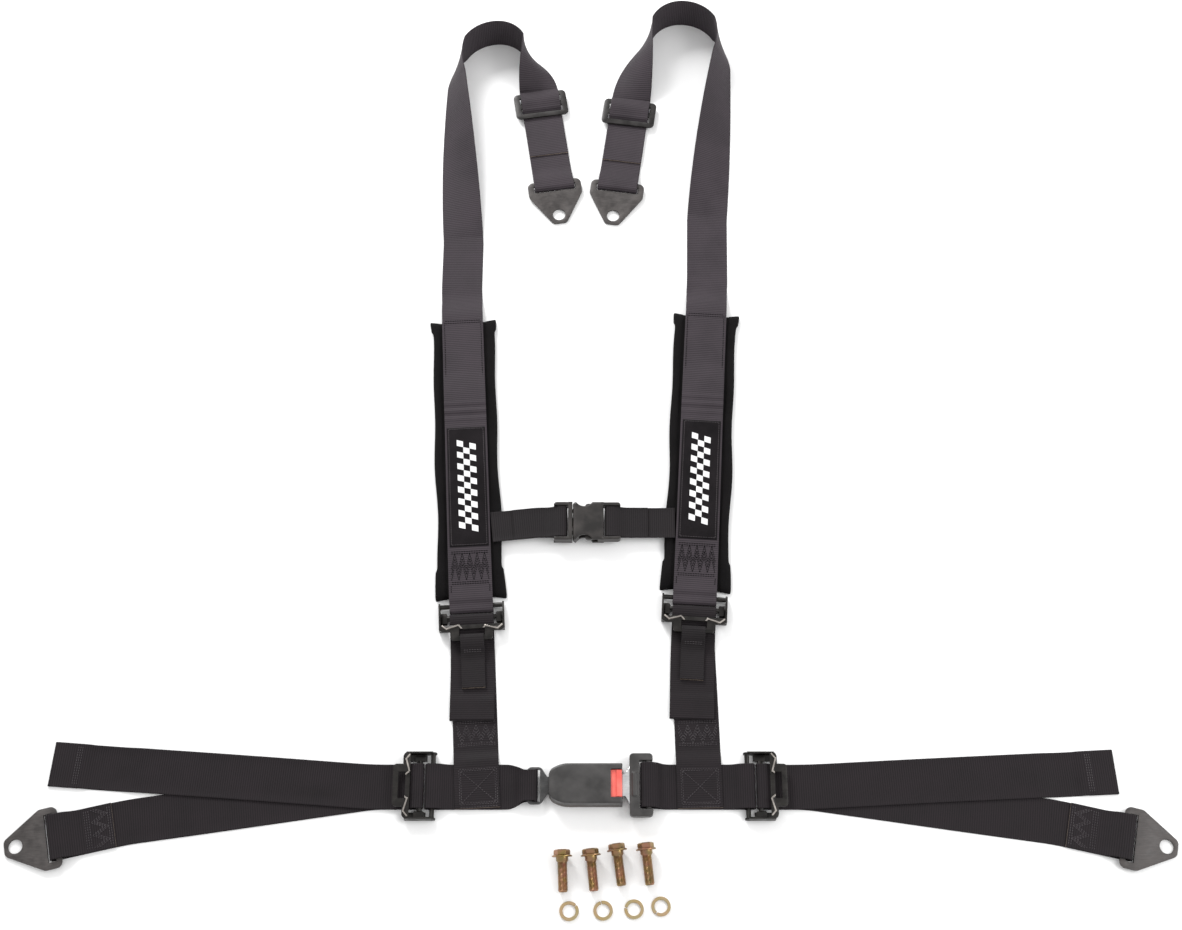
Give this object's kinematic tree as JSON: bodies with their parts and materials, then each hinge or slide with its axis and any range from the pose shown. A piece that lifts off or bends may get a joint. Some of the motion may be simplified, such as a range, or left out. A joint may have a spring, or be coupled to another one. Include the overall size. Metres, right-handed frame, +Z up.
{
  "type": "racing harness",
  "caption": "Racing harness laid flat: padded shoulder belts, sternum clip, lap belts with push-button buckle, tilt-lock adjusters, bolt-in anchor tabs and loose anchor bolts.",
  "frame": {"origin": "middle of the laid-out harness on the floor it lies on", "axes": "+X along the lap belt from the buckle half to the tongue half, +Y towards the shoulder anchors, +Z up from the floor"},
  "size_m": [1.2968, 1.1952, 0.0508],
  "materials": {
    "lap_webbing": "ribbed polyester webbing",
    "shoulder_webbing": "ribbed polyester webbing",
    "sternum_webbing": "fine polyester webbing",
    "pad_fabric": "napped",
    "patch_fabric": "woven",
    "black_steel": "satin black",
    "phosphate_steel": "phosphated",
    "clip_plastic": "semi gloss",
    "case_plastic": "moulded grain",
    "button_plastic": "gloss",
    "bright_steel": "polished",
    "buckle_steel": "satin",
    "spring_steel": "drawn wire",
    "gold_zinc": "yellow zinc",
    "pale_zinc": "yellow zinc"
  },
  "bodies": {
    "left_half": {"lap_strap_left_anchor": "lap_webbing", "lap_strap_left_bight": "lap_webbing", "lap_strap_left_tail": "lap_webbing", "lap_strap_left_inner": "lap_webbing", "shoulder_strap_left_threaded": "shoulder_webbing", "shoulder_strap_left_bend": "shoulder_webbing", "shoulder_strap_left_upper": "shoulder_webbing", "shoulder_strap_left_lower": "shoulder_webbing", "shoulder_strap_left_bight": "shoulder_webbing", "shoulder_strap_left_tail": "shoulder_webbing", "shoulder_pad_left": "pad_fabric", "pad_patch_left": "patch_fabric", "shoulder_slide_left": "black_steel", "sternum_strap_left": "sternum_webbing", "sternum_buckle_male": "clip_plastic", "sternum_buckle_arms": "clip_plastic", "buckle_base": "case_plastic", "buckle_cover": "case_plastic", "buckle_frame": "buckle_steel", "buckle_latch": "buckle_steel", "ejector_spring": "spring_steel", "button_spring": "spring_steel", "anchor_bolts": "gold_zinc", "lock_washers": "pale_zinc"},
    "right_half": {"lap_strap_right_anchor": "lap_webbing", "lap_strap_right_bight": "lap_webbing", "lap_strap_right_tail": "lap_webbing", "lap_strap_right_inner": "lap_webbing", "shoulder_strap_right_threaded": "shoulder_webbing", "shoulder_strap_right_bend": "shoulder_webbing", "shoulder_strap_right_upper": "shoulder_webbing", "shoulder_strap_right_lower": "shoulder_webbing", "shoulder_strap_right_bight": "shoulder_webbing", "shoulder_strap_right_tail": "shoulder_webbing", "shoulder_pad_right": "pad_fabric", "pad_patch_right": "patch_fabric", "shoulder_slide_right": "black_steel", "sternum_strap_right": "sternum_webbing", "sternum_buckle_female": "clip_plastic", "tongue_blade": "bright_steel", "tongue_grip": "case_plastic"},
    "release_button": {"release_button": "button_plastic"},
    "ejector": {"ejector": "case_plastic"},
    "tab_lap_left": {"anchor_tab_lap_left": "phosphate_steel"},
    "tab_shoulder_left": {"anchor_tab_shoulder_left": "phosphate_steel"},
    "adjuster_lap_left": {"adjuster_frame_lap_left": "black_steel"},
    "lock_lap_left": {"locking_bar_lap_left": "black_steel"},
    "adjuster_shoulder_left": {"adjuster_frame_shoulder_left": "black_steel"},
    "lock_shoulder_left": {"locking_bar_shoulder_left": "black_steel"},
    "pull_left": {"pull_tab_left": "shoulder_webbing"},
    "tab_lap_right": {"anchor_tab_lap_right": "phosphate_steel"},
    "tab_shoulder_right": {"anchor_tab_shoulder_right": "phosphate_steel"},
    "adjuster_lap_right": {"adjuster_frame_lap_right": "black_steel"},
    "lock_lap_right": {"locking_bar_lap_right": "black_steel"},
    "adjuster_shoulder_right": {"adjuster_frame_shoulder_right": "black_steel"},
    "lock_shoulder_right": {"locking_bar_shoulder_right": "black_steel"},
    "pull_right": {"pull_tab_right": "shoulder_webbing"}
  },
  "joints": [
    {"name": "unbuckle", "type": "slide", "parent": "left_half", "child": "right_half", "axis": [1, 0, 0], "range_m": [0, 0.06], "deforming": ["sternum_buckle_arms"]},
    {"name": "button_press", "type": "slide", "parent": "left_half", "child": "release_button", "axis": [-1, 0, 0], "range_m": [0, 0.005], "stiffness_N_per_m": 900, "springref_m": -0.004, "deforming": ["button_spring", "buckle_latch"]},
    {"name": "eject", "type": "slide", "parent": "left_half", "child": "ejector", "axis": [1, 0, 0], "range_m": [0, 0.0084], "deforming": ["ejector_spring"]},
    {"name": "tab_swing_lap_left", "type": "hinge", "parent": "left_half", "child": "tab_lap_left", "pos_m": [-0.58969, -0.50654, 0.0051], "axis": [-0.225, 0.9744, 0], "range_deg": [0, 80]},
    {"name": "tab_swing_shoulder_left", "type": "hinge", "parent": "left_half", "child": "tab_shoulder_left", "pos_m": [-0.04787, 0.34169, 0.0051], "axis": [-0.989, -0.1478, 0], "range_deg": [0, 80]},
    {"name": "tilt_lap_left", "type": "hinge", "parent": "left_half", "child": "adjuster_lap_left", "pos_m": [-0.177, -0.45, 0.0046], "axis": [0, 1, 0], "range_deg": [0, 35], "deforming": ["lap_strap_left_bight"]},
    {"name": "lock_lap_left", "type": "slide", "parent": "adjuster_lap_left", "child": "lock_lap_left", "axis": [-1, 0, 0], "range_m": [0, 0.0025]},
    {"name": "tilt_shoulder_left", "type": "hinge", "parent": "left_half", "child": "adjuster_shoulder_left", "pos_m": [-0.13928, -0.23693, 0.0046], "axis": [-0.9985, -0.055, 0], "range_deg": [0, 35], "deforming": ["shoulder_strap_left_bight"]},
    {"name": "lock_shoulder_left", "type": "slide", "parent": "adjuster_shoulder_left", "child": "lock_shoulder_left", "axis": [0.055, -0.9985, 0], "range_m": [0, 0.0025]},
    {"name": "pull_swing_left", "type": "hinge", "parent": "adjuster_shoulder_left", "child": "pull_left", "pos_m": [-0.13703, -0.27787, 0.011], "axis": [-0.9985, -0.055, 0], "range_deg": [0, 60]},
    {"name": "tab_swing_lap_right", "type": "hinge", "parent": "right_half", "child": "tab_lap_right", "pos_m": [0.58969, -0.50654, 0.0051], "axis": [-0.225, -0.9744, 0], "range_deg": [0, 80]},
    {"name": "tab_swing_shoulder_right", "type": "hinge", "parent": "right_half", "child": "tab_shoulder_right", "pos_m": [0.03477, 0.34005, 0.0051], "axis": [-0.9903, 0.1392, 0], "range_deg": [0, 80]},
    {"name": "tilt_lap_right", "type": "hinge", "parent": "right_half", "child": "adjuster_lap_right", "pos_m": [0.175, -0.45, 0.0046], "axis": [0, -1, 0], "range_deg": [0, 35], "deforming": ["lap_strap_right_bight"]},
    {"name": "lock_lap_right", "type": "slide", "parent": "adjuster_lap_right", "child": "lock_lap_right", "axis": [1, 0, 0], "range_m": [0, 0.0025]},
    {"name": "tilt_shoulder_right", "type": "hinge", "parent": "right_half", "child": "adjuster_shoulder_right", "pos_m": [0.12114, -0.22734, 0.0046], "axis": [-0.9982, 0.0593, 0], "range_deg": [0, 35], "deforming": ["shoulder_strap_right_bight"]},
    {"name": "lock_shoulder_right", "type": "slide", "parent": "adjuster_shoulder_right", "child": "lock_shoulder_right", "axis": [-0.0593, -0.9982, 0], "range_m": [0, 0.0025]},
    {"name": "pull_swing_right", "type": "hinge", "parent": "adjuster_shoulder_right", "child": "pull_right", "pos_m": [0.11871, -0.26826, 0.011], "axis": [-0.9982, 0.0593, 0], "range_deg": [0, 60]}
  ],
  "couplings": [
    {"joint": "eject", "follows": "unbuckle", "ratio": 0.14}
  ]
}
